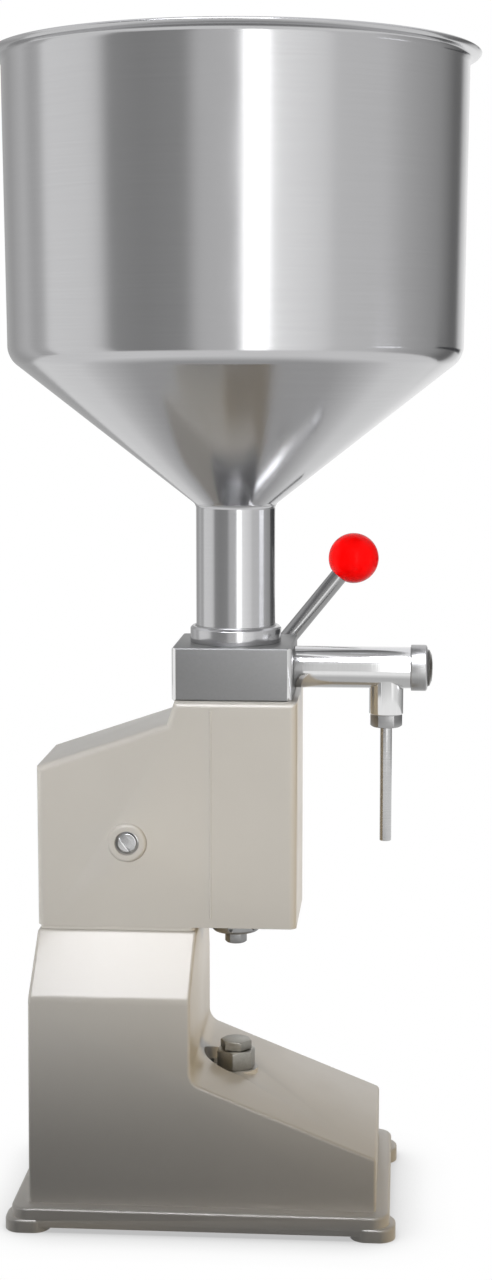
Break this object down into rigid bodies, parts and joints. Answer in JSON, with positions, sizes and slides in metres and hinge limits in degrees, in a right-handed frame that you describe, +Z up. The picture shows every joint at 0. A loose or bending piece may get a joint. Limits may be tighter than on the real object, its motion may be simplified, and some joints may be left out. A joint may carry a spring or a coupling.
{
  "type": "hand-lever donut filler",
  "caption": "Hand-lever donut filler: round cone-bottomed steel hopper on a valve block and cast stand, with side nozzle arm and red ball lever.",
  "frame": {"origin": "on the floor under the common axis of hopper, piston and stop bolt", "axes": "+Z up, +X towards the nozzle, +Y to the side that carries the lever"},
  "size_m": [0.32, 0.32, 0.77],
  "materials": {
    "cast_paint": "smooth semi-gloss warm grey enamel",
    "dark_steel": "oiled dark machined steel",
    "steel": "plain machined stainless steel",
    "bright_steel": "polished stainless steel",
    "satin_steel": "satin turned stainless steel",
    "block_steel": "matte ground stainless steel",
    "hopper_steel": "fine brushed and polished spun stainless steel",
    "white_plastic": "turned white food-safe plastic",
    "bronze": "machined bronze",
    "red_plastic": "glossy moulded red plastic"
  },
  "bodies": {
    "stand": {"base_casting": "cast_paint", "stop_lock_nut": "dark_steel", "head_casting": "cast_paint", "cylinder": "steel", "guide_gland": "bright_steel", "valve_block": "block_steel", "inlet_bridge": "steel", "inlet_spring": "steel", "nozzle_arm": "bright_steel", "outlet_spring": "steel", "arm_end_cap": "satin_steel", "nozzle_nut": "satin_steel", "nozzle_tube": "bright_steel"},
    "lever": {"lever_arm": "bright_steel", "ball_knob": "red_plastic", "shaft_nut": "steel", "pivot_shaft": "bright_steel", "shaft_keys": "steel", "crank_arm": "dark_steel"},
    "plunger": {"piston": "white_plastic", "piston_rod": "bright_steel", "rod_nuts": "steel", "crosshead": "bronze"},
    "stop_screw": {"stop_bolt": "dark_steel"},
    "inlet_valve": {"inlet_poppet": "white_plastic"},
    "outlet_valve": {"outlet_poppet": "white_plastic"},
    "hopper": {"hopper_bowl": "hopper_steel", "hopper_tube": "hopper_steel", "hopper_collar": "satin_steel"}
  },
  "joints": [
    {"name": "lever_swing", "type": "hinge", "parent": "stand", "child": "lever", "pos_m": [-0.0689, 0, 0.2552], "axis": [0, 1, 0], "range_deg": [0, 32.6]},
    {"name": "plunger_stroke", "type": "slide", "parent": "stand", "child": "plunger", "axis": [0, 0, 1], "range_m": [-0.04, 0]},
    {"name": "stop_height", "type": "slide", "parent": "stand", "child": "stop_screw", "axis": [0, 0, 1], "range_m": [0, 0.028]},
    {"name": "inlet_lift", "type": "slide", "parent": "stand", "child": "inlet_valve", "axis": [0, 0, 1], "range_m": [-0.004, 0], "stiffness_N_per_m": 100, "springref_m": 0.004, "deforming": ["inlet_spring"]},
    {"name": "outlet_lift", "type": "slide", "parent": "stand", "child": "outlet_valve", "axis": [1, 0, 0], "range_m": [0, 0.005], "stiffness_N_per_m": 100, "springref_m": -0.004, "deforming": ["outlet_spring"]},
    {"name": "hopper_lift_off", "type": "slide", "parent": "stand", "child": "hopper", "axis": [0, 0, 1], "range_m": [0, 0.06]}
  ],
  "couplings": [
    {"joint": "plunger_stroke", "follows": "lever_swing", "m_per_rad": -0.07028}
  ]
}
